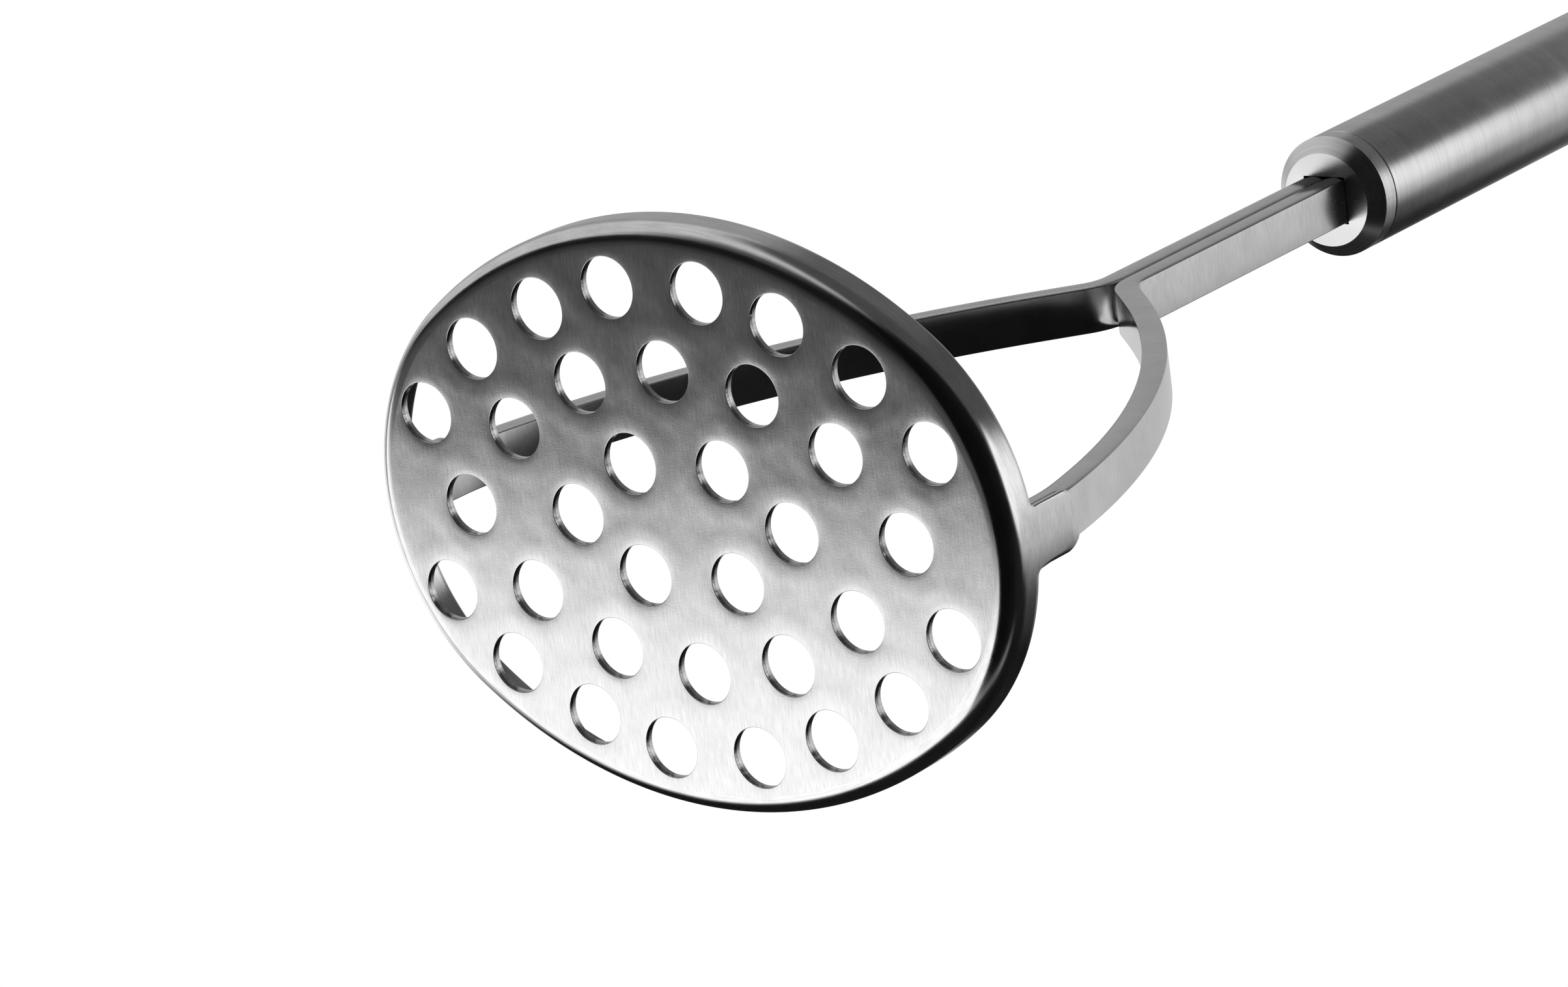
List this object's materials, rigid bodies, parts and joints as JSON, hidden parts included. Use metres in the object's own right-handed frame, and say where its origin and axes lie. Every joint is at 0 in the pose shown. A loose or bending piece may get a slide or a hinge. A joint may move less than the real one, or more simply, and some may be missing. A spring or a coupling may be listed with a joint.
{
  "type": "potato masher",
  "caption": "Hand masher with a perforated oval steel disc, bowed flat arms that meet at a neck, and a hollow steel handle ending in a hanging eye.",
  "frame": {"origin": "centre of the disc's working face", "axes": "+Z from the working face up along the handle, X along the disc's long axis through both ears"},
  "size_m": [0.111, 0.0862, 0.29],
  "materials": {
    "disc_steel": "satin, brushed across the disc",
    "bar_steel": "satin, brushed across the bars",
    "handle_steel": "satin"
  },
  "bodies": {
    "root": {"mashing_disc": "disc_steel", "right_arm": "bar_steel", "left_arm": "bar_steel", "front_collar": "handle_steel", "grip_shell": "handle_steel", "end_cap": "handle_steel"}
  },
  "joints": []
}
